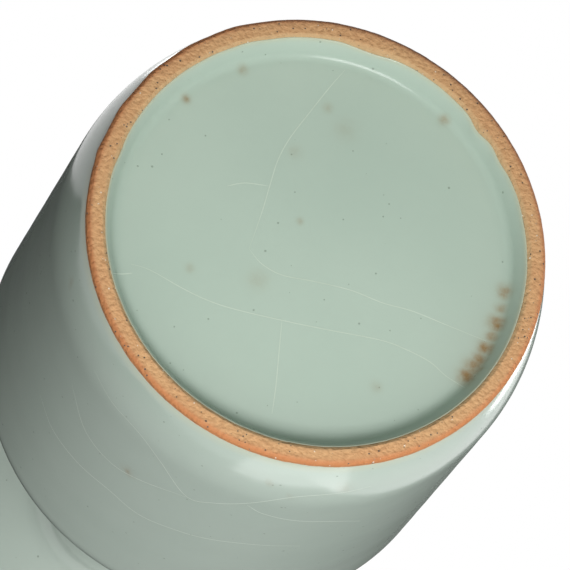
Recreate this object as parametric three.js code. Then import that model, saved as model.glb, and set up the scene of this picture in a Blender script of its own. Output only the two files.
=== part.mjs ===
// A celadon mallet vase: a straight-sided body on a bare turned foot ring, a rounded
// shoulder, a tall neck and a dished mouth. Each wheel-thrown section, each bead of
// joining slip and each coat of glaze is its own solid. Millimetres, +Z up, and the
// origin lies at the middle of the foot, on the surface that the vase stands on.

import * as THREE from "three";

// Overall sizes
const totalHeight = 255;
const footRadius = 60;
const bodyRadius = 64;
const bodySpringHeight = 14; // where the low curve of the body would meet its straight side
const bodySpringRounding = 60; // less where the low curve is too short for it

// Shoulder, neck and mouth, measured on the outside of the glaze
const shoulderHeight = 114.3; // where the side and the shoulder slope would meet
const shoulderRise = Math.tan((20 * Math.PI) / 180);
const shoulderRounding = 9;
const neckFootRadius = 24;
const neckFootRounding = 8;
const neckTopRadius = 22.5;
const neckTopRounding = 14;
const mouthRadius = 46;
const mouthRise = Math.tan((36 * Math.PI) / 180);
const mouthRounding = 4;
const lipHeight = 12; // upright rim of the dish

// Walls
const clayThickness = 4.2;
const glazeThickness = 0.9;
const coatGap = 0.3; // kept between a coat of glaze and the clay under it
const floorTop = 13; // inside floor of the clay, above the table
const floorRounding = 8;
const slipThickness = 1;
const seamClearance = 2; // from the end of a rounding to the seam beside it

// Foot ring and glazed recess under the base
const bareHeight = 2; // bare clay on the outside of the foot
const outerBevel = 0.8;
const innerBevel = 0.4;
const bareWidth = 4.8; // bare clay across the foot ring
const footRingHeight = 3.6;
const recessDepth = 6;
const recessFloorRadius = 51.9;
const recessRounding = 2;

const SEGMENTS = 36;
const ARC_STEPS = 3;

const claySand = new THREE.MeshStandardMaterial({ color: 0xb98152, roughness: 0.9, metalness: 0 });
const clayGrey = new THREE.MeshStandardMaterial({ color: 0xb9b3a6, roughness: 0.85, metalness: 0 });
const celadon = new THREE.MeshStandardMaterial({ color: 0xb0c4b6, roughness: 0.22, metalness: 0 });

const point = (r, z) => new THREE.Vector2(r, z);

// Moves a chain of corners sideways by a distance, to the left of its direction when the
// distance is positive. Each inner corner lands where the two moved sides meet, and its
// rounding grows or shrinks so that the moved chain stays parallel to the first.
function moved(corners, distance) {
  const sides = corners.slice(1).map((corner, i) => {
    const along = corner.at.clone().sub(corners[i].at).normalize();
    const left = point(-along.y, along.x);
    return { along, left, start: corners[i].at.clone().addScaledVector(left, distance) };
  });
  return corners.map((corner, i) => {
    const before = sides[Math.max(i - 1, 0)];
    const after = sides[Math.min(i, sides.length - 1)];
    if (before === after) {
      return { at: corner.at.clone().addScaledVector(before.left, distance), rounding: 0 };
    }
    const cross = before.along.x * after.along.y - before.along.y * after.along.x;
    const gap = after.start.clone().sub(before.start);
    const reach = (gap.x * after.along.y - gap.y * after.along.x) / cross;
    const at = before.start.clone().addScaledVector(before.along, reach);
    return { at, rounding: corner.rounding - Math.sign(cross) * distance };
  });
}

// Turns a chain of corners into points, with an arc of a few steps at each rounding.
function rounded(corners) {
  const points = [corners[0].at.clone()];
  for (let i = 1; i < corners.length - 1; i += 1) {
    const { at, rounding } = corners[i];
    const back = corners[i - 1].at.clone().sub(at).normalize();
    const onward = corners[i + 1].at.clone().sub(at).normalize();
    const half = Math.acos(THREE.MathUtils.clamp(back.dot(onward), -1, 1)) / 2;
    const tangent = rounding / Math.tan(half);
    const middle = back.clone().add(onward).normalize();
    const centre = at.clone().addScaledVector(middle, rounding / Math.sin(half));
    const from = at.clone().addScaledVector(back, tangent).sub(centre);
    const to = at.clone().addScaledVector(onward, tangent).sub(centre);
    const sweep = Math.atan2(from.x * to.y - from.y * to.x, from.dot(to));
    for (let step = 0; step <= ARC_STEPS; step += 1) {
      const turn = (sweep * step) / ARC_STEPS;
      points.push(from.clone().rotateAround(point(0, 0), turn).add(centre));
    }
  }
  points.push(corners.at(-1).at.clone());
  return points;
}

// The stretch of a rising chain of points between two heights, cut exactly at both. A
// height past an end of the chain lies on its first or last side drawn onwards.
function between(points, low, high) {
  const atHeight = (z) => {
    const above = points.findIndex((p) => z <= p.y);
    const i = above < 0 ? points.length - 1 : Math.max(above, 1);
    const share = (z - points[i - 1].y) / (points[i].y - points[i - 1].y);
    return point(THREE.MathUtils.lerp(points[i - 1].x, points[i].x, share), z);
  };
  const inside = points.filter((p) => p.y > low + 0.05 && p.y < high - 0.05);
  return [atHeight(low), ...inside, atHeight(high)];
}

// A closed outline in the radius and height plane, turned about the vase's axis.
function turned(name, outline, material) {
  const area = THREE.ShapeUtils.area(outline);
  const loop = area > 0 ? outline : [...outline].reverse();
  const closed = [...loop, loop[0].clone()];
  const mesh = new THREE.Mesh(new THREE.LatheGeometry(closed, SEGMENTS), material);
  mesh.geometry.rotateX(Math.PI / 2);
  mesh.name = name;
  return mesh;
}

// The low curve ends above the foot, so its rounding is held to a share of its own side.
const springOut = bodyRadius - footRadius;
const springUp = bodySpringHeight - bareHeight;
const springSide = Math.hypot(springOut, springUp);
const springLimit = (0.85 * springSide) / Math.tan(Math.atan2(springOut, springUp) / 2);

// The outside of the vase, from the edge of the glaze at the foot to the lip.
const neckFootHeight = shoulderHeight + (bodyRadius - neckFootRadius) * shoulderRise;
const mouthCornerHeight = totalHeight - lipHeight;
const neckTopHeight = mouthCornerHeight - (mouthRadius - neckTopRadius) * mouthRise;
const outside = [
  { at: point(footRadius, bareHeight), rounding: 0 },
  { at: point(bodyRadius, bodySpringHeight), rounding: Math.min(bodySpringRounding, springLimit) },
  { at: point(bodyRadius, shoulderHeight), rounding: shoulderRounding },
  { at: point(neckFootRadius, neckFootHeight), rounding: neckFootRounding },
  { at: point(neckTopRadius, neckTopHeight), rounding: neckTopRounding },
  { at: point(mouthRadius, mouthCornerHeight), rounding: mouthRounding },
  { at: point(mouthRadius, totalHeight), rounding: 0 },
];

// The inside starts on the axis, crosses the floor and runs parallel to the outside.
function insideAt(depth, floor) {
  const wall = moved(outside, depth);
  return [
    { at: point(0, floor), rounding: 0 },
    { at: point(wall[2].at.x, floor), rounding: floorRounding },
    ...wall.slice(2),
  ];
}

const clayDepth = glazeThickness + coatGap;
const clayBack = clayDepth + clayThickness;
const innerCoatDepth = clayBack + coatGap;
const glazeFace = rounded(outside);
const glazeBack = rounded(moved(outside, glazeThickness));
const clayFace = rounded(moved(outside, clayDepth));
const clayInside = rounded(insideAt(clayBack, floorTop));
const innerCoatBack = rounded(insideAt(innerCoatDepth, floorTop + coatGap));
const innerCoatFace = rounded(
  insideAt(innerCoatDepth + glazeThickness, floorTop + coatGap + glazeThickness),
);

// Seams lie in upright stretches of wall, just past the roundings beside them.
const tangentOf = (rounding, turn) => rounding * Math.tan(turn / 2);
const shoulderTurn = Math.PI / 2 - Math.atan(shoulderRise);
const mouthTurn = Math.PI / 2 - Math.atan(mouthRise);
const baseSeam = floorTop + floorRounding + seamClearance;
const bodySeam = shoulderHeight - tangentOf(shoulderRounding + clayBack, shoulderTurn) - seamClearance;
const neckSeam = neckFootHeight + tangentOf(neckFootRounding + clayBack, shoulderTurn) + seamClearance;
const mouthSeam = neckTopHeight - tangentOf(neckTopRounding + clayBack, mouthTurn) - seamClearance;
const clayTop = totalHeight - clayDepth;

// A ring of clay between two heights, from the outer face to the inner one.
function claySection(name, low, high) {
  const inner = between(clayInside, low, high).reverse();
  return turned(name, [...between(clayFace, low, high), ...inner], clayGrey);
}

// The recess under the base: its glazed face, from the foot ring's inner edge to the axis.
const ringInner = footRadius - bareWidth;
const recess = [
  { at: point(ringInner - coatGap, innerBevel + coatGap), rounding: 0 },
  { at: point(recessFloorRadius, recessDepth), rounding: recessRounding },
  { at: point(0, recessDepth), rounding: 0 },
];
const recessFace = rounded(recess);
const recessCoatBack = rounded(moved(recess, -glazeThickness));
const recessClay = rounded(moved(recess, -clayDepth));

function footRing() {
  return turned(
    "foot_ring",
    [
      point(ringInner + innerBevel, 0),
      point(footRadius - outerBevel, 0),
      point(footRadius, outerBevel),
      point(footRadius, bareHeight - coatGap),
      ...between(clayFace, bareHeight, footRingHeight),
      ...between(recessClay, innerBevel + clayDepth / 2, footRingHeight).reverse(),
      point(ringInner, innerBevel),
    ],
    claySand,
  );
}

// The base is a shallow cup: the recessed floor with the first stretch of wall round it.
function base() {
  const underside = recessClay.filter((p) => p.y > footRingHeight + 0.05);
  const floor = clayInside.filter((p) => p.y < baseSeam - 0.05);
  return turned(
    "base",
    [
      ...[...underside].reverse(),
      between(recessClay, footRingHeight - 1, footRingHeight).at(-1),
      ...between(clayFace, footRingHeight, baseSeam),
      between(clayInside, baseSeam, baseSeam + 1)[0],
      ...[...floor].reverse(),
    ],
    clayGrey,
  );
}

function glazeCoats() {
  const lipMiddle = mouthRadius - innerCoatDepth / 2;
  const lipTop = totalHeight - glazeThickness;
  return [
    turned(
      "glaze_outer",
      [
        ...between(glazeFace, bareHeight, lipTop),
        point(mouthRadius - glazeThickness, totalHeight),
        point(lipMiddle, totalHeight),
        point(lipMiddle, lipTop),
        ...between(glazeBack, bareHeight + coatGap, lipTop).reverse(),
      ],
      celadon,
    ),
    turned(
      "glaze_inner",
      [
        ...innerCoatBack.filter((p) => p.y < lipTop - 0.05),
        point(innerCoatBack.at(-1).x, lipTop),
        point(lipMiddle, lipTop),
        point(lipMiddle, totalHeight),
        point(innerCoatFace.at(-1).x + glazeThickness, totalHeight),
        ...[...innerCoatFace].filter((p) => p.y < lipTop - 0.05).reverse(),
      ],
      celadon,
    ),
    turned("glaze_base", [...recessFace, ...recessCoatBack.reverse()], celadon),
  ];
}

const vase = new THREE.Group();
vase.add(
  footRing(),
  base(),
  claySection("body_wall", baseSeam, bodySeam),
  claySection("body_slip", bodySeam, bodySeam + slipThickness),
  claySection("shoulder", bodySeam + slipThickness, neckSeam),
  claySection("neck_slip", neckSeam, neckSeam + slipThickness),
  claySection("neck", neckSeam + slipThickness, mouthSeam),
  claySection("mouth_slip", mouthSeam, mouthSeam + slipThickness),
  claySection("mouth_dish", mouthSeam + slipThickness, clayTop),
  ...glazeCoats(),
);

export default vase;
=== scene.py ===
# %% [markdown]
# # A celadon mallet vase
# The vase is clay under a thick, quiet green glaze. Only its foot ring is bare, and there
# the iron in the clay has burnt orange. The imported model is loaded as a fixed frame, its
# coats of glaze and its foot are made again as fine surfaces, and the clay under the glaze
# stays as it is.

import math

import bmesh
import bpy
import numpy as np
from mathutils import Matrix, Vector
from mathutils.bvhtree import BVHTree


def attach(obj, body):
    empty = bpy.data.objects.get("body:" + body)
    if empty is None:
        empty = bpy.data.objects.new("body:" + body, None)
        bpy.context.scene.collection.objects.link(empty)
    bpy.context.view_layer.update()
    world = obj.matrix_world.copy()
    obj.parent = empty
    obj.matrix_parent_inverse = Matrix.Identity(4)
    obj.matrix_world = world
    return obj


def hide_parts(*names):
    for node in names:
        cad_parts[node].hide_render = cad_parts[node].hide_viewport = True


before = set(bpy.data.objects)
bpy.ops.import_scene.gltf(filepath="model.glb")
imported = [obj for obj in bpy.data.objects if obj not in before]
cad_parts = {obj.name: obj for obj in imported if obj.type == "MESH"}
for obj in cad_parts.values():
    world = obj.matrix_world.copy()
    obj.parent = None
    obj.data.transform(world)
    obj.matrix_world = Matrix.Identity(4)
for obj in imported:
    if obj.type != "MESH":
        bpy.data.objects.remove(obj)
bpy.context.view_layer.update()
MM = 0.001
print("nodes in the frame:", sorted(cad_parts))

# %% [markdown]
# ## The camera
# The photograph looks up at the underside. Its foot ring shows as an ellipse, whose two
# widths give the tilt, and whose long width gives the scale. A long lens far away keeps
# the body as straight as it looks there. The camera is rolled, so that the axis of the
# vase runs to the lower left.

# %% Camera from the ellipse of the foot
IMAGE_SIDE = 570
FOOT_CENTRE_PX = (318.5, 239.0)  # where the middle of the contact plane lies
FOOT_HALF_WIDTH_PX = 237.0
FOOT_ELLIPSE_RATIO = 0.914
AXIS_IN_IMAGE = math.radians(126.0)  # direction of the mouth, clockwise from the right
FOOT_RADIUS = 60 * MM
CAMERA_FAR = 28 * FOOT_RADIUS
CAMERA_AZIMUTH = math.radians(203)
SENSOR = 36.0

elevation = -math.asin(FOOT_ELLIPSE_RATIO)
towards_camera = Vector(
    (
        math.sin(CAMERA_AZIMUTH) * math.cos(elevation),
        -math.cos(CAMERA_AZIMUTH) * math.cos(elevation),
        math.sin(elevation),
    )
)
level_up = (Vector((0, 0, 1)) - towards_camera * towards_camera.z).normalized()
level_right = level_up.cross(towards_camera)
mouth_right, mouth_up = math.cos(AXIS_IN_IMAGE), -math.sin(AXIS_IN_IMAGE)
image_right = mouth_up * level_right + mouth_right * level_up
image_up = -mouth_right * level_right + mouth_up * level_up

metres_per_px = FOOT_RADIUS / FOOT_HALF_WIDTH_PX
middle_px = IMAGE_SIDE / 2
aim = (
    image_right * (middle_px - FOOT_CENTRE_PX[0]) + image_up * (FOOT_CENTRE_PX[1] - middle_px)
) * metres_per_px
camera_place = aim + towards_camera * CAMERA_FAR

camera = bpy.data.objects.new("camera", bpy.data.cameras.new("camera"))
bpy.context.scene.collection.objects.link(camera)
camera.data.sensor_width = SENSOR
camera.data.lens = SENSOR * (FOOT_HALF_WIDTH_PX * CAMERA_FAR / FOOT_RADIUS) / IMAGE_SIDE
camera.data.clip_end = 50
turn = Matrix((image_right, image_up, towards_camera)).transposed()
camera.matrix_world = Matrix.Translation(camera_place) @ turn.to_4x4()
bpy.context.scene.camera = camera
print(f"lens {camera.data.lens:.0f} mm at {CAMERA_FAR:.2f} m, tilt {math.degrees(elevation):.1f}")


def pixel_ray(x, y):
    """The direction from the camera through a pixel of the photograph: the pixel's distance
    from the middle, over the focal length in pixels, along the camera's right and up."""
    focal_px = camera.data.lens / SENSOR * IMAGE_SIDE
    sideways = image_right * (x - middle_px) + image_up * (middle_px - y)
    return (sideways / focal_px - towards_camera).normalized()


def azimuth_at(x, y):
    """The angle about the vase's axis at which a pixel's ray meets the plane of the foot."""
    ray = pixel_ray(x, y)
    hit = camera_place - ray * (camera_place.z / ray.z)
    return math.atan2(hit.y, hit.x)


# %% [markdown]
# ## Outlines
# A pot is turned, so each surface is an outline carried round the axis. An outline here is
# a chain of corners, each with a radius, as a potter's template is: straight sides joined
# by arcs. Moving the chain sideways gives the parallel surfaces of the coats.

# %% Chains of corners
def moved(corners, distance):
    """Each side moves to its left by the distance, and each corner goes to where its two
    moved sides cross; the radius of its arc changes by the distance."""
    places = np.array([c[:2] for c in corners], float)
    along = np.diff(places, axis=0)
    along /= np.linalg.norm(along, axis=1)[:, None]
    left = np.stack([-along[:, 1], along[:, 0]], axis=1)
    result = []
    for i, (r, z, rounding) in enumerate(corners):
        before, after = max(i - 1, 0), min(i, len(along) - 1)
        if before == after:
            result.append((*(places[i] + left[before] * distance), 0.0))
            continue
        cross = along[before][0] * along[after][1] - along[before][1] * along[after][0]
        start = places[i] + left[before] * distance
        gap = (places[i] + left[after] * distance) - start
        reach = (gap[0] * along[after][1] - gap[1] * along[after][0]) / cross
        result.append((*(start + along[before] * reach), rounding - np.sign(cross) * distance))
    return result


def flowing(corners, step):
    """The chain as points about one step apart: straight runs from one arc's end to the
    next arc's start, and arcs about the centre that lies on each corner's bisector."""
    places = np.array([c[:2] for c in corners], float)
    stops = [places[0]]
    for i in range(1, len(corners) - 1):
        back = places[i - 1] - places[i]
        onward = places[i + 1] - places[i]
        back /= np.linalg.norm(back)
        onward /= np.linalg.norm(onward)
        half = math.acos(np.clip(back @ onward, -1, 1)) / 2
        rounding = max(corners[i][2], step / 4)
        middle = (back + onward) / np.linalg.norm(back + onward)
        centre = places[i] + middle * rounding / math.sin(half)
        start = places[i] + back * rounding / math.tan(half) - centre
        end = places[i] + onward * rounding / math.tan(half) - centre
        sweep = math.atan2(start[0] * end[1] - start[1] * end[0], start @ end)
        count = max(int(abs(sweep) * rounding / step), 4)
        angle = np.linspace(0, sweep, count + 1)[:, None]
        arc = start * np.cos(angle) + np.array([-start[1], start[0]]) * np.sin(angle)
        stops += list(arc + centre)
    stops.append(places[-1])
    stops = np.array(stops)
    points = [stops[:1]]
    for a, b in zip(stops[:-1], stops[1:]):
        count = max(int(np.linalg.norm(b - a) / step), 1)
        share = np.linspace(0, 1, count + 1)[1:, None]
        points.append(a + (b - a) * share)
    return np.concatenate(points)


# %% [markdown]
# ## Turning an outline into a mesh
# The radius and height may change with the angle, so they are whole grids, one row for
# each point of the outline and one column for each angle. Masks for the materials, such as
# how near a point is to a worn edge, go into the mesh as attributes of the same grid.

# %% Grid surfaces
def turned_surface(name, radius, height, angles, closed, masks):
    """Point (i, j) lies at radius[i, j] and height[i, j] in the direction angles[j]. Rows
    are joined to the next row, and the last to the first where the outline is closed."""
    rows, columns = radius.shape
    grid = np.stack([radius * np.cos(angles), radius * np.sin(angles), height], axis=-1)
    index = np.arange(rows * columns).reshape(rows, columns)
    here = index if closed else index[:-1]
    above = np.roll(index, -1, axis=0) if closed else index[1:]
    beside = np.roll(here, -1, axis=1)
    across = np.roll(above, -1, axis=1)
    quads = np.stack([here, beside, across, above], axis=-1).reshape(-1, 4)
    mesh = bpy.data.meshes.new(name)
    mesh.from_pydata(grid.reshape(-1, 3), [], quads.tolist())
    for mask, values in masks.items():
        layer = mesh.attributes.new(mask, "FLOAT", "POINT")
        layer.data.foreach_set("value", np.broadcast_to(values, radius.shape).ravel().astype("f"))
    tidy = bmesh.new()
    tidy.from_mesh(mesh)
    bmesh.ops.remove_doubles(tidy, verts=tidy.verts, dist=1e-7)
    bmesh.ops.recalc_face_normals(tidy, faces=tidy.faces)
    tidy.to_mesh(mesh)
    tidy.free()
    mesh.shade_smooth()
    piece = bpy.data.objects.new(name, mesh)
    bpy.context.scene.collection.objects.link(piece)
    print(f"{name}: {len(mesh.polygons)} faces")
    return piece


def waves(angles, counts, seed):
    """A closed random curve round the axis: sines that fit a whole number of times, with
    seeded phases, scaled to stay between about -1 and 1."""
    random = np.random.default_rng(seed)
    phase = random.uniform(0, 2 * np.pi, len(counts))
    size = random.uniform(0.5, 1.0, len(counts))
    total = sum(s * np.sin(n * angles + p) for n, p, s in zip(counts, phase, size))
    return total / size.sum()


def near(angles, at, width):
    """A bump round one angle: 1 there, falling off as a bell curve over the width."""
    apart = np.angle(np.exp(1j * (angles - at)))
    return np.exp(-((apart / width) ** 2))


# %% [markdown]
# ## The recess under the base
# The glaze inside the foot ring runs up a sloping wall and over a small fillet on to the
# flat floor. Its edge was wiped back by hand before firing, so it wanders, and in a few
# places, most of all on the upper right of the photograph, it has drawn back further.

# %% Glaze of the recess
RECESS_EDGE = (54.9, 0.7)  # foot of the recess wall, where the bead of glaze begins
RECESS = [(0, 6.0, 0), (51.9, 6.0, 2.6), (*RECESS_EDGE, 0)]
COAT = 0.9
EDGE_WANDER = 0.22
EDGE_PULLED_BACK = 0.1
NOTCH_WIDTH = 0.07  # radians
FACE_STEP, BEAD_STEP, BACK_STEP = 0.6, 0.15, 4.0
RING_COLUMNS = 720
ring_angles = np.linspace(0, 2 * np.pi, RING_COLUMNS, endpoint=False)
# How far the glaze has drawn back, in millimetres, at places in the photograph
NOTCHES_PX = {(374, 66): 0.55, (474, 132): 0.9, (356, 63): 0.4, (500, 160): 0.5, (120, 150): 0.35}
glaze_edge_wave = EDGE_WANDER * waves(ring_angles, range(5, 40), 3) - EDGE_PULLED_BACK
for (notch_x, notch_y), depth in NOTCHES_PX.items():
    glaze_edge_wave -= depth * near(ring_angles, azimuth_at(notch_x, notch_y), NOTCH_WIDTH)

face = flowing(RECESS, FACE_STEP)
edge_bead = [(*RECESS_EDGE, 0), (55.1, 0.62, 0.2), (55.4, 0.8, 0)]
back_chain = flowing(moved(RECESS, COAT), BACK_STEP)[::-1]
bead_chain = flowing(edge_bead, BEAD_STEP)[1:]
chain = np.concatenate([face, bead_chain, back_chain])
to_edge = np.linalg.norm(chain - np.array(RECESS_EDGE), axis=1)
edge_pull = np.exp(-((to_edge / 3.0) ** 2))[:, None]  # the wander fades over the first few millimetres
base_radius = chain[:, :1] + edge_pull * glaze_edge_wave
base_height = chain[:, 1:] - 0.9 * edge_pull * glaze_edge_wave
# The floor sags a quarter of a millimetre in the middle, on its face but not on its back
centre_lift = 0.25 * np.exp(-((chain[:, :1] / 38.0) ** 2)) * (chain[:, 1:] < 6.5)
pooling = np.exp(-(((chain[:, :1] - 52.3) / 2.2) ** 2))
glaze_base = turned_surface(
    "glaze_base_fine",
    base_radius * MM,
    (base_height - centre_lift) * MM,
    ring_angles,
    False,
    {"pool": pooling, "edge": np.exp(-((to_edge / 0.8) ** 2))[:, None]},
)

# %% [markdown]
# ## The bare foot ring
# The ring was trimmed with a knife on the wheel and the glaze wiped from it. Its outer
# edge keeps the knife's flats, most of all on the photograph's upper left, and its surface
# is open and gritty.

# %% Foot ring
RING = [
    (60.1, 3.6, 0),
    (59.9, 2.5, 0.4),
    (60.0, 1.6, 0.6),
    (59.9, 0.7, 0.5),
    (59.1, 0.0, 0.5),
    (56.0, 0.0, 0.5),
    (55.2, 0.6, 0.4),
    (53.6, 3.6, 0),
]
RING_STEP = 0.24
OUTER_EDGE, INNER_EDGE, EDGE_BLEND = 59.0, 55.9, 0.25
KNIFE_FLATS_PX = [(108, 152), (140, 118), (172, 88), (205, 66), (240, 48)]
PIT_DEPTH, FACE_PIT_DEPTH = 0.035, 0.05
ring_chain = flowing(RING, RING_STEP)
outer_side = (1 / (1 + np.exp(-(ring_chain[:, 0] - OUTER_EDGE) / EDGE_BLEND)))[:, None]
inner_side = (1 / (1 + np.exp((ring_chain[:, 0] - INNER_EDGE) / EDGE_BLEND)))[:, None]
knife_flats = 0.12 * waves(ring_angles, range(9, 60), 7)
for k, (flat_x, flat_y) in enumerate(KNIFE_FLATS_PX):
    knife_flats += 0.3 * near(ring_angles, azimuth_at(flat_x, flat_y), 0.05 + 0.01 * k)
grit = np.random.default_rng(11).normal(0, 1, (len(ring_chain), RING_COLUMNS))
grit = (grit + np.roll(grit, 1, 0) + np.roll(grit, 1, 1) + np.roll(grit, -1, 1)) / 4
low = (ring_chain[:, 1:] < 2.6).astype(float)
ring_radius = ring_chain[:, :1] + outer_side * knife_flats + inner_side * 0.5 * glaze_edge_wave
ring_radius = ring_radius + PIT_DEPTH * grit * low
flat_face = (ring_chain[:, 1:] < 0.02).astype(float)
ring_height = ring_chain[:, 1:] + FACE_PIT_DEPTH * np.abs(grit) * flat_face
foot_ring = turned_surface(
    "foot_ring_fine",
    ring_radius * MM,
    ring_height * MM,
    ring_angles,
    True,
    {
        "outer": outer_side * np.ones(RING_COLUMNS),
        "inner": inner_side * np.ones(RING_COLUMNS),
        "burn": near(ring_angles, azimuth_at(440, 60), 0.75),
    },
)

# %% [markdown]
# ## The coat of glaze over the body
# One surface runs from the foot up the outside, over the lip and down inside to the floor.
# Faint throwing ridges run round the body, and the pot is a little out of true, as every
# thrown pot is. Both fade out at the foot.

# %% Glaze of the body, neck and mouth
OUTSIDE = [
    (60.0, 2.0, 0),
    (64.0, 14.0, 60),
    (64.0, 114.3, 9),
    (24.0, 128.86, 8),
    (22.5, 225.93, 14),
    (46.0, 243.0, 4),
    (46.0, 255.0, 0),
]
WALL = 6.6  # clay, two coats and the two gaps under them
LIP_ROUNDING = 2.4
INNER_FLOOR = 14.2
FLOOR_ROUNDING = 8


def vessel(depth, wall, floor):
    """The outline from the middle of the inner floor, up inside, over the lip and down
    outside to the foot: the inside is the outside moved by the wall, and both are moved
    by the depth towards each other."""
    outer = moved(OUTSIDE, depth)
    inner = moved(OUTSIDE, wall - depth)
    top = OUTSIDE[-1][1] - depth
    up = [(0, floor - depth, 0), (inner[2][0], floor - depth, FLOOR_ROUNDING)] + inner[2:-1]
    lip = [(inner[-1][0], top, LIP_ROUNDING - depth), (outer[-1][0], top, LIP_ROUNDING - depth)]
    down = outer[:-1][::-1]
    return up + lip + down


BODY_COLUMNS = 240
SKIN_STEP, SKIN_BACK_STEP = 2.4, 16.0
body_angles = np.linspace(0, 2 * np.pi, BODY_COLUMNS, endpoint=False)
skin = flowing(vessel(0.0, WALL, INNER_FLOOR), SKIN_STEP)
skin_back = flowing(vessel(COAT, WALL, INNER_FLOOR), SKIN_BACK_STEP)[::-1]
foot_bead = np.array([[59.85, 1.75], [59.6, 1.8], [59.4, 2.0]])
skin_chain = np.concatenate([skin, foot_bead, skin_back])
on_face = (np.arange(len(skin_chain)) < len(skin) + 1).astype(float)[:, None]
height_mm = skin_chain[:, 1:]
radius_mm = skin_chain[:, :1]
away_from_foot = 1 - np.exp(-((height_mm - 2) / 12.0))
ridges = 0.016 * np.sin(height_mm / 2.9 + 1.4 * np.sin(height_mm / 17.0)) * (radius_mm > 20)
sway = 0.28 * waves(body_angles, (2, 3), 5) * np.minimum(radius_mm / 64.0, 1)
foot_edge = np.exp(-((height_mm - 2) / 1.2) ** 2) * (radius_mm > 58)
body_radius = radius_mm + away_from_foot * (sway + ridges * on_face) * (radius_mm > 1)
body_edge_wave = 0.25 * waves(body_angles, range(6, 44), 9)
body_height = height_mm + foot_edge * body_edge_wave
glaze_body = turned_surface(
    "glaze_body_fine",
    body_radius * MM,
    body_height * MM,
    body_angles,
    False,
    {
        "pool": np.exp(-((height_mm - 3) / 5.0) ** 2) * (radius_mm > 58),
        "edge": np.exp(-((height_mm - 2) / 0.7) ** 2) * (radius_mm > 58),
    },
)

# %% [markdown]
# ## Hair cracks and rust
# A few long cracks cross the glaze of the base and the body. Each is traced as a handful
# of places in the photograph, and a ray from the camera carries it on to the surface, so
# it lies on the glaze from every side. The crack is a very thin ribbon in the glaze.

# %% Cracks by ray
CRACKS_PX = {
    "across_base": [
        (249, 249), (262, 264), (282, 275), (312, 281), (350, 290), (383, 303), (412, 311), (449, 326),
        (486, 341),
    ],
    "low_base": [
        (131, 264), (150, 270), (182, 288), (207, 300), (234, 309), (285, 321), (329, 330), (380, 340),
        (405, 349), (430, 362), (446, 376), (465, 388),
    ],
    "high_base": [
        (345, 70), (330, 87), (310, 112), (290, 138), (278, 160), (270, 185), (262, 212), (249, 249),
    ],
    "branch_base": [(227, 186), (245, 183), (269, 186)],
    "edge_base": [(111, 273), (122, 274), (133, 273)],
    "down_base": [(282, 320), (279, 352), (276, 385), (272, 414)],
    "long_body": [
        (94, 370), (112, 402), (140, 434), (160, 461), (186, 496), (214, 503), (250, 503), (295, 497),
        (340, 493), (372, 486),
    ],
    "low_body": [
        (40, 395), (53, 430), (78, 463), (109, 490), (138, 514), (173, 529), (209, 539), (260, 545),
        (300, 546),
    ],
    "mid_body": [(72, 385), (85, 430), (110, 462), (140, 480), (186, 497)],
    "end_body": [(247, 505), (264, 514), (300, 521), (360, 521)],
}
CRACK_WIDTH = 0.26 * MM
CRACK_LIFT = 0.015 * MM
CRACK_STEPS = 12  # places between two traced ones


def surface_tree(piece):
    """A search tree over a piece's faces, to find where rays meet it."""
    corners = [v.co.copy() for v in piece.data.vertices]
    return BVHTree.FromPolygons(corners, [tuple(p.vertices) for p in piece.data.polygons])


trees = [surface_tree(glaze_base), surface_tree(foot_ring), surface_tree(glaze_body)]


def landing(x, y):
    """The nearest place where a pixel's ray meets the vase, with the surface's normal."""
    ray = pixel_ray(x, y)
    hits = [tree.ray_cast(camera_place, ray) for tree in trees]
    hits = [h for h in hits if h[0] is not None]
    place, normal, _, _ = min(hits, key=lambda h: h[3])
    return np.array(place), np.array(normal if normal.dot(ray) < 0 else -normal)


def smooth_path(points, count):
    """A curve through the points: a Catmull-Rom cubic between each pair, whose slope at a
    point is half the step from the point before to the point after."""
    p = np.array(points, float)
    p = np.concatenate([2 * p[:1] - p[1:2], p, 2 * p[-1:] - p[-2:-1]])
    pieces = []
    for i in range(1, len(p) - 2):
        t = np.linspace(0, 1, count, endpoint=False)[:, None]
        a, b, c, d = p[i - 1 : i + 3]
        pieces.append(0.5 * (2 * b + (c - a) * t + (2 * a - 5 * b + 4 * c - d) * t**2
                             + (3 * b - a - 3 * c + d) * t**3))
    pieces.append(p[-2:-1])
    return np.concatenate(pieces)


def crack_ribbon(pixels):
    """A strip along the landed path: at each place it goes half the width to both sides,
    along the cross product of the path's direction and the normal, and narrows at its ends."""
    places, normals = zip(*(landing(*xy) for xy in smooth_path(pixels, CRACK_STEPS)))
    places, normals = np.array(places), np.array(normals)
    along = np.gradient(places, axis=0)
    side = np.cross(along, normals)
    side /= np.linalg.norm(side, axis=1)[:, None]
    share = np.linspace(0, 1, len(places))
    taper = np.minimum(1, 6 * np.minimum(share, share[::-1]))
    reach = side * (CRACK_WIDTH / 2 * (0.25 + 0.75 * taper))[:, None]
    middle = places + normals * CRACK_LIFT
    under = places - normals * CRACK_LIFT
    rows = np.stack([middle + reach, middle - reach, under], axis=1)
    n = len(rows)
    index = np.arange(n * 3).reshape(n, 3)
    a, b = index[:-1], index[1:]
    quads = np.stack([a, np.roll(a, -1, 1), np.roll(b, -1, 1), b], axis=-1).reshape(-1, 4)
    ends = [tuple(index[0][::-1]), tuple(index[-1])]
    return rows.reshape(-1, 3), [tuple(q) for q in quads.tolist()] + ends


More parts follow.
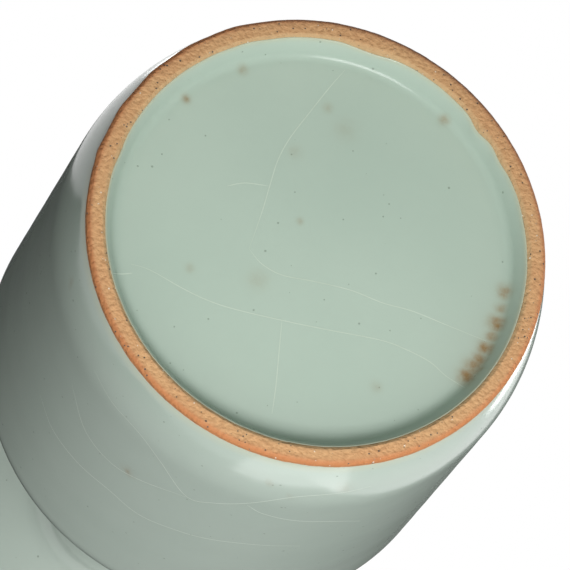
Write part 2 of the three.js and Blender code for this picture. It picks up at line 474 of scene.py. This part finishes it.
crack_vertices, crack_faces = [], []
for pixels in CRACKS_PX.values():
    vertices, faces = crack_ribbon(pixels)
    start = sum(len(v) for v in crack_vertices)
    crack_vertices.append(vertices)
    crack_faces += [tuple(start + int(i) for i in f) for f in faces]
crack_mesh = bpy.data.meshes.new("glaze_cracks")
crack_mesh.from_pydata(np.concatenate(crack_vertices), [], crack_faces)
tidy = bmesh.new()
tidy.from_mesh(crack_mesh)
bmesh.ops.recalc_face_normals(tidy, faces=tidy.faces)
tidy.to_mesh(crack_mesh)
tidy.free()
glaze_cracks = bpy.data.objects.new("glaze_cracks", crack_mesh)
bpy.context.scene.collection.objects.link(glaze_cracks)
print(f"glaze_cracks: {len(CRACKS_PX)} cracks, {len(crack_faces)} faces")

# %% [markdown]
# Rust has seeped through the glaze in a chain of brown spots at the inner corner of the
# recess, and single faint spots lie elsewhere. Each is a bell-shaped patch about the place
# where its pixel lands, written into the mesh as a mask.

# %% Rust spots as a mask
# Each spot's place in the photograph, its spread in millimetres and its strength
RUST_PX = {
    (505, 292): (1.9, 0.8), (501, 309): (1.7, 0.5), (497, 324): (2.3, 0.9), (492, 337): (1.8, 0.7),
    (486, 349): (2.2, 0.9), (480, 359): (2.0, 0.8), (474, 368): (2.5, 0.9), (467, 377): (2.4, 0.9),
    (186, 99): (1.1, 0.8), (444, 120): (1.3, 0.6), (243, 70): (1.3, 0.4), (328, 108): (1.3, 0.3),
    (300, 221): (0.9, 0.35), (345, 130): (3.0, 0.13), (295, 152): (1.8, 0.15), (258, 280): (2.6, 0.18),
    (190, 268): (1.1, 0.3), (128, 471): (1.4, 0.5), (135, 476): (0.8, 0.3), (376, 387): (1.5, 0.2),
    (270, 482): (0.8, 0.35), (290, 498): (0.8, 0.35), (70, 283): (1.0, 0.3), (345, 488): (1.6, 0.25),
}


def rust_mask(piece):
    """The largest bell value over all spots, at each vertex of the piece."""
    count = len(piece.data.vertices)
    places = np.empty(count * 3, "f")
    piece.data.vertices.foreach_get("co", places)
    places = places.reshape(-1, 3)
    mask = np.zeros(count, "f")
    for (x, y), (spread, strength) in RUST_PX.items():
        centre, _ = landing(x, y)
        apart = np.linalg.norm(places - centre, axis=1) / (spread * MM)
        mask = np.maximum(mask, strength * np.exp(-(apart**2)))
    layer = piece.data.attributes.new("rust", "FLOAT", "POINT")
    layer.data.foreach_set("value", mask.astype("f"))
    print(f"{piece.name}: rust reaches {mask.max():.2f}")


rust_mask(glaze_base)
rust_mask(glaze_body)

# %% [markdown]
# ## Finishes
# Two effects are used by more than one material, so they are node groups: speckle, which
# puts small round grains into a surface, and clouding, a slow wander of colour.

# %% Node helpers
def new_group(name, inputs, outputs):
    """An empty node group with the named number or colour sockets."""
    group = bpy.data.node_groups.new(name, "ShaderNodeTree")
    for label, kind in inputs:
        group.interface.new_socket(label, in_out="INPUT", socket_type=kind)
    for label, kind in outputs:
        group.interface.new_socket(label, in_out="OUTPUT", socket_type=kind)
    return group, group.nodes.new("NodeGroupInput"), group.nodes.new("NodeGroupOutput")


NUMBER, COLOUR, VECTOR = "NodeSocketFloat", "NodeSocketColor", "NodeSocketVector"


def math_node(tree, operation, a, b):
    node = tree.nodes.new("ShaderNodeMath")
    node.operation = operation
    for socket, value in zip(node.inputs, (a, b)):
        if isinstance(value, (int, float)):
            socket.default_value = value
        else:
            tree.links.new(value, socket)
    return node.outputs[0]


def mix_colour(tree, share, first, second):
    node = tree.nodes.new("ShaderNodeMix")
    node.data_type = "RGBA"
    for socket, value in ((node.inputs[0], share), (node.inputs[6], first), (node.inputs[7], second)):
        if isinstance(value, (int, float, tuple)):
            socket.default_value = value
        else:
            tree.links.new(value, socket)
    return node.outputs[2]


def speckle_group():
    """Cells of a given size in metres: a cell whose random number is under the share holds
    a grain, and the mask falls from 1 at its middle to 0 at the grain's edge."""
    group, given, result = new_group(
        "speckle",
        [("Vector", VECTOR), ("Cells per metre", NUMBER), ("Share", NUMBER)],
        [("Mask", NUMBER)],
    )
    cells = group.nodes.new("ShaderNodeTexVoronoi")
    group.links.new(given.outputs["Vector"], cells.inputs["Vector"])
    group.links.new(given.outputs["Cells per metre"], cells.inputs["Scale"])
    split = group.nodes.new("ShaderNodeSeparateColor")
    group.links.new(cells.outputs["Color"], split.inputs[0])
    chosen = math_node(group, "LESS_THAN", split.outputs[0], given.outputs["Share"])
    size = math_node(group, "MULTIPLY_ADD", split.outputs[1], 0.25)
    size.node.inputs[2].default_value = 0.15
    falloff = math_node(group, "SUBTRACT", size, cells.outputs["Distance"])
    sharp = math_node(group, "MULTIPLY", falloff, 14.0)
    sharp.node.use_clamp = True
    group.links.new(math_node(group, "MULTIPLY", sharp, chosen), result.inputs["Mask"])
    return group


def cloud_group():
    """Slow noise, stretched about its middle to use the whole range from 0 to 1."""
    group, given, result = new_group(
        "clouding",
        [("Vector", VECTOR), ("Scale", NUMBER), ("Contrast", NUMBER)],
        [("Mask", NUMBER)],
    )
    noise = group.nodes.new("ShaderNodeTexNoise")
    noise.inputs["Detail"].default_value = 5
    group.links.new(given.outputs["Vector"], noise.inputs["Vector"])
    group.links.new(given.outputs["Scale"], noise.inputs["Scale"])
    centred = math_node(group, "SUBTRACT", noise.outputs[0], 0.5)
    stretched = math_node(group, "MULTIPLY", centred, given.outputs["Contrast"])
    mask = math_node(group, "ADD", stretched, 0.5)
    mask.node.use_clamp = True
    group.links.new(mask, result.inputs["Mask"])
    return group


SPECKLE = speckle_group()
CLOUDING = cloud_group()


def new_material(name):
    """A material with its Principled shader, and the Object coordinates it reads."""
    material = bpy.data.materials.new(name)
    material.use_nodes = True
    tree = material.node_tree
    shader = tree.nodes["Principled BSDF"]
    place = tree.nodes.new("ShaderNodeTexCoord").outputs["Object"]
    return material, tree, shader, place


def grouped(tree, group, place, first, second):
    """One use of a two-number group at a place, giving its mask."""
    node = tree.nodes.new("ShaderNodeGroup")
    node.node_tree = group
    tree.links.new(place, node.inputs[0])
    node.inputs[1].default_value = first
    node.inputs[2].default_value = second
    return node.outputs["Mask"]


def attribute(tree, name):
    node = tree.nodes.new("ShaderNodeAttribute")
    node.attribute_name = name
    return node.outputs["Fac"]


def bump(tree, shader, height, distance, strength):
    node = tree.nodes.new("ShaderNodeBump")
    node.inputs["Distance"].default_value = distance
    node.inputs["Strength"].default_value = strength
    tree.links.new(height, node.inputs["Height"])
    tree.links.new(node.outputs[0], shader.inputs["Normal"])


# %% [markdown]
# The glaze is thick and full of tiny bubbles, which makes it milky: pale bluish green, a
# little greener where it has pooled. Its gloss is soft, and its surface has a faint swell.

# %% Celadon glaze
GLAZE_PALE = (0.47, 0.545, 0.485, 1)
GLAZE_GREY = (0.44, 0.52, 0.46, 1)
GLAZE_POOLED = (0.38, 0.47, 0.41, 1)
GLAZE_EDGE = (0.50, 0.50, 0.36, 1)
RUST = (0.30, 0.19, 0.09, 1)
PINHOLE = (0.12, 0.15, 0.11, 1)


def celadon_glaze():
    material, tree, shader, place = new_material("celadon_glaze")
    clouds = grouped(tree, CLOUDING, place, 22.0, 2.2)
    colour = mix_colour(tree, clouds, GLAZE_PALE, GLAZE_GREY)
    pooled = math_node(tree, "MULTIPLY", attribute(tree, "pool"), 0.55)
    colour = mix_colour(tree, pooled, colour, GLAZE_POOLED)
    thin = math_node(tree, "MULTIPLY", attribute(tree, "edge"), 0.5)
    colour = mix_colour(tree, thin, colour, GLAZE_EDGE)
    holes = grouped(tree, SPECKLE, place, 1100.0, 0.012)
    colour = mix_colour(tree, math_node(tree, "MULTIPLY", holes, 0.45), colour, PINHOLE)
    ragged = grouped(tree, CLOUDING, place, 600.0, 2.0)
    uneven = math_node(tree, "MULTIPLY_ADD", ragged, 0.9)
    uneven.node.inputs[2].default_value = 0.55
    stain = math_node(tree, "MULTIPLY", attribute(tree, "rust"), uneven)
    stain.node.use_clamp = True
    colour = mix_colour(tree, stain, colour, RUST)
    tree.links.new(colour, shader.inputs["Base Color"])
    shader.inputs["Roughness"].default_value = 0.14
    swell = grouped(tree, CLOUDING, place, 120.0, 1.0)
    height = math_node(tree, "SUBTRACT", swell, math_node(tree, "MULTIPLY", holes, 0.6))
    bump(tree, shader, height, 0.00012, 0.5)
    return material


# %% [markdown]
# The bare clay burnt orange at its edges, with pale quartz grains and dark iron specks in
# a sandy ground. Where the flame reached it most, along the photograph's upper right, it
# is dark brown.

# %% Bare clay
SAND_LIGHT = (0.64, 0.46, 0.26, 1)
SAND_DARK = (0.52, 0.35, 0.19, 1)
ORANGE = (0.48, 0.17, 0.05, 1)
BURNT = (0.14, 0.06, 0.025, 1)
QUARTZ = (0.85, 0.80, 0.70, 1)
IRON = (0.05, 0.03, 0.02, 1)


def bare_clay():
    material, tree, shader, place = new_material("bare_clay")
    fine = grouped(tree, CLOUDING, place, 900.0, 2.6)
    colour = mix_colour(tree, fine, SAND_LIGHT, SAND_DARK)
    slow = grouped(tree, CLOUDING, place, 60.0, 2.0)
    colour = mix_colour(tree, math_node(tree, "MULTIPLY", slow, 0.2), colour, ORANGE)
    flush = math_node(tree, "MULTIPLY", attribute(tree, "outer"), 0.85)
    colour = mix_colour(tree, flush, colour, ORANGE)
    inner = math_node(tree, "MULTIPLY", attribute(tree, "inner"), 0.75)
    colour = mix_colour(tree, inner, colour, SAND_DARK)
    reach = math_node(tree, "MULTIPLY", attribute(tree, "burn"), attribute(tree, "outer"))
    colour = mix_colour(tree, reach, colour, BURNT)
    quartz = grouped(tree, SPECKLE, place, 1300.0, 0.14)
    colour = mix_colour(tree, math_node(tree, "MULTIPLY", quartz, 0.8), colour, QUARTZ)
    iron = grouped(tree, SPECKLE, place, 1300.0, 0.09)
    colour = mix_colour(tree, math_node(tree, "MULTIPLY", iron, 0.9), colour, IRON)
    tree.links.new(colour, shader.inputs["Base Color"])
    shader.inputs["Roughness"].default_value = 0.8
    rough = math_node(tree, "ADD", fine, quartz)
    height = math_node(tree, "SUBTRACT", rough, math_node(tree, "MULTIPLY", iron, 1.5))
    bump(tree, shader, height, 0.0003, 0.8)
    return material


# %% [markdown]
# Under the glaze the clay is a dull, fine grey. A crack in the glaze lets the light in, so
# it shows as a line a little paler than the glaze round it.

# %% Clay under the glaze, and the cracks
UNDER_LIGHT = (0.52, 0.5, 0.44, 1)
UNDER_DARK = (0.42, 0.4, 0.35, 1)
CRACK_PALE = (0.56, 0.62, 0.55, 1)
CRACK_FAINT = (0.50, 0.565, 0.49, 1)


def body_clay():
    material, tree, shader, place = new_material("body_clay")
    fine = grouped(tree, CLOUDING, place, 500.0, 2.0)
    colour = mix_colour(tree, fine, UNDER_LIGHT, UNDER_DARK)
    tree.links.new(colour, shader.inputs["Base Color"])
    shader.inputs["Roughness"].default_value = 0.9
    bump(tree, shader, fine, 0.0002, 0.5)
    return material


def crack_finish():
    material, tree, shader, place = new_material("crack_line")
    clouds = grouped(tree, CLOUDING, place, 150.0, 2.5)
    colour = mix_colour(tree, clouds, CRACK_PALE, CRACK_FAINT)
    tree.links.new(colour, shader.inputs["Base Color"])
    shader.inputs["Roughness"].default_value = 0.4
    return material


# %% [markdown]
# Each new piece takes its finish, rides on the vase's one body and hides the imported nodes
# it stands for. The cracks are extra, so they stand for none. The clay nodes stay, and only
# their material changes.

# %% Finishes on the pieces
CLAY_NODES = [
    "base", "body_wall", "body_slip", "shoulder", "neck_slip", "neck", "mouth_slip", "mouth_dish"
]
glaze, clay, under_clay, crack_line = celadon_glaze(), bare_clay(), body_clay(), crack_finish()
for piece, finish, slot, nodes in (
    (glaze_base, glaze, "celadon_glaze", ["glaze_base"]),
    (glaze_body, glaze, "celadon_glaze", ["glaze_outer", "glaze_inner"]),
    (foot_ring, clay, "bare_clay", ["foot_ring"]),
    (glaze_cracks, crack_line, "celadon_glaze", []),
):
    piece.data.materials.append(finish)
    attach(piece, "root")
    if nodes:
        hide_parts(*nodes)
for node in CLAY_NODES:
    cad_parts[node].data.materials.clear()
    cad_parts[node].data.materials.append(under_clay)
print("materials:", [m.name for m in (glaze, clay, under_clay, crack_line)])

# %% [markdown]
# ## Floor and light
# The floor is seen only from above: from below it is clear, so that the photograph's view
# shows the underside, and it lets the lamps under it shine through. The photograph's light
# comes from its lower edge, and a dark card above darkens what the side of the body reflects.

# %% Floor, world, lamps and card
FLOOR_GLOW = 0.35  # seen by the camera only, so that the far floor stays pale


def floor_material():
    material, tree, shader, _ = new_material("pale_floor")
    shader.inputs["Base Color"].default_value = (0.8, 0.8, 0.79, 1)
    shader.inputs["Roughness"].default_value = 0.9
    clear = tree.nodes.new("ShaderNodeBsdfTransparent")
    path = tree.nodes.new("ShaderNodeLightPath")
    side = tree.nodes.new("ShaderNodeNewGeometry")
    shader.inputs["Emission Color"].default_value = (1, 1, 1, 1)
    glow = math_node(tree, "MULTIPLY", path.outputs["Is Camera Ray"], FLOOR_GLOW)
    tree.links.new(glow, shader.inputs["Emission Strength"])
    material.cycles.emission_sampling = "NONE"  # the glow lights nothing, so no light samples go to it
    seen_through = math_node(tree, "MAXIMUM", side.outputs["Backfacing"], path.outputs["Is Shadow Ray"])
    mix = tree.nodes.new("ShaderNodeMixShader")
    tree.links.new(seen_through, mix.inputs[0])
    tree.links.new(shader.outputs[0], mix.inputs[1])
    tree.links.new(clear.outputs[0], mix.inputs[2])
    tree.links.new(mix.outputs[0], tree.nodes["Material Output"].inputs["Surface"])
    return material


def flat_square(name, half, height):
    """A level square about the axis."""
    mesh = bpy.data.meshes.new(name)
    corners = [(x * half, y * half, height) for x, y in ((-1, -1), (1, -1), (1, 1), (-1, 1))]
    mesh.from_pydata(corners, [], [(0, 1, 2, 3)])
    square = bpy.data.objects.new(name, mesh)
    bpy.context.scene.collection.objects.link(square)
    return square


FLOOR_HALF = 40.0
FLOOR_HEIGHT = -0.2 * MM  # just under the foot, so that the two don't flicker
floor = flat_square("floor", FLOOR_HALF, FLOOR_HEIGHT)
floor.data.materials.append(floor_material())

world = bpy.data.worlds.new("studio")
bpy.context.scene.world = world
world.use_nodes = True
sky = world.node_tree
path = sky.nodes.new("ShaderNodeLightPath")
seen = math_node(sky, "MAXIMUM", path.outputs["Is Camera Ray"], path.outputs["Is Glossy Ray"])
seen = math_node(sky, "MAXIMUM", seen, path.outputs["Is Transmission Ray"])
AMBIENT = 0.06
strength = math_node(sky, "MULTIPLY_ADD", seen, 1 - AMBIENT)
strength.node.inputs[2].default_value = AMBIENT
sky.links.new(strength, sky.nodes["Background"].inputs["Strength"])
sky.nodes["Background"].inputs["Color"].default_value = (1, 1, 1, 1)


LAMP_TARGET_HEIGHT = 0.1


def lamp(name, direction, distance, size, power):
    """A square soft lamp that faces the vase from a direction."""
    light = bpy.data.lights.new(name, "AREA")
    light.shape = "SQUARE"
    light.size = size
    light.energy = power
    holder = bpy.data.objects.new(name, light)
    bpy.context.scene.collection.objects.link(holder)
    way = Vector(direction).normalized()
    target = Vector((0, 0, LAMP_TARGET_HEIGHT))
    holder.location = target + way * distance
    holder.rotation_euler = way.to_track_quat("Z", "Y").to_euler()
    holder.visible_camera = False
    print(f"{name}: {power} W at {distance} m")


def compass(azimuth, height):
    """The direction at an azimuth from -Y towards +X and a height above level, in degrees."""
    a, h = math.radians(azimuth), math.radians(height)
    return (math.sin(a) * math.cos(h), -math.cos(a) * math.cos(h), math.sin(h))


KEY_IN_CAMERA = (0.15, -0.33, 0.93)
camera_axes = (image_right, image_up, towards_camera)
key_way = sum((axis * share for axis, share in zip(camera_axes, KEY_IN_CAMERA)), Vector((0, 0, 0)))
lamp("key_below", key_way, 0.8, 0.36, 5.0)
lamp("side_right", compass(60, 30), 1.8, 1.2, 17)
lamp("side_back", compass(160, 35), 1.8, 1.0, 6)
lamp("side_front", compass(10, 40), 2.2, 1.2, 12)
lamp("over_back", compass(215, 60), 2.2, 1.0, 5)

CARD_HALF = 1.2
CARD_HEIGHT = 1.3
CARD_SHIFT = 0.7
CARD_OPEN_AZIMUTH = 38
card = flat_square("dark_card", CARD_HALF, CARD_HEIGHT)
open_side = Vector(compass(CARD_OPEN_AZIMUTH, 0))
card.location = -open_side * CARD_SHIFT
card.visible_camera = False
card.visible_shadow = False
card.visible_diffuse = False
card_finish = bpy.data.materials.new("dark_card")
card_finish.use_nodes = True
card_shader = card_finish.node_tree.nodes["Principled BSDF"]
card_shader.inputs["Base Color"].default_value = (0.02, 0.02, 0.02, 1)
card_shader.inputs["Roughness"].default_value = 1.0
card.data.materials.append(card_finish)

# %% [markdown]
# ## The end
# The last line sets the scene's view transform to Standard.

# %% Finish
bpy.context.scene.view_settings.view_transform = "Standard"
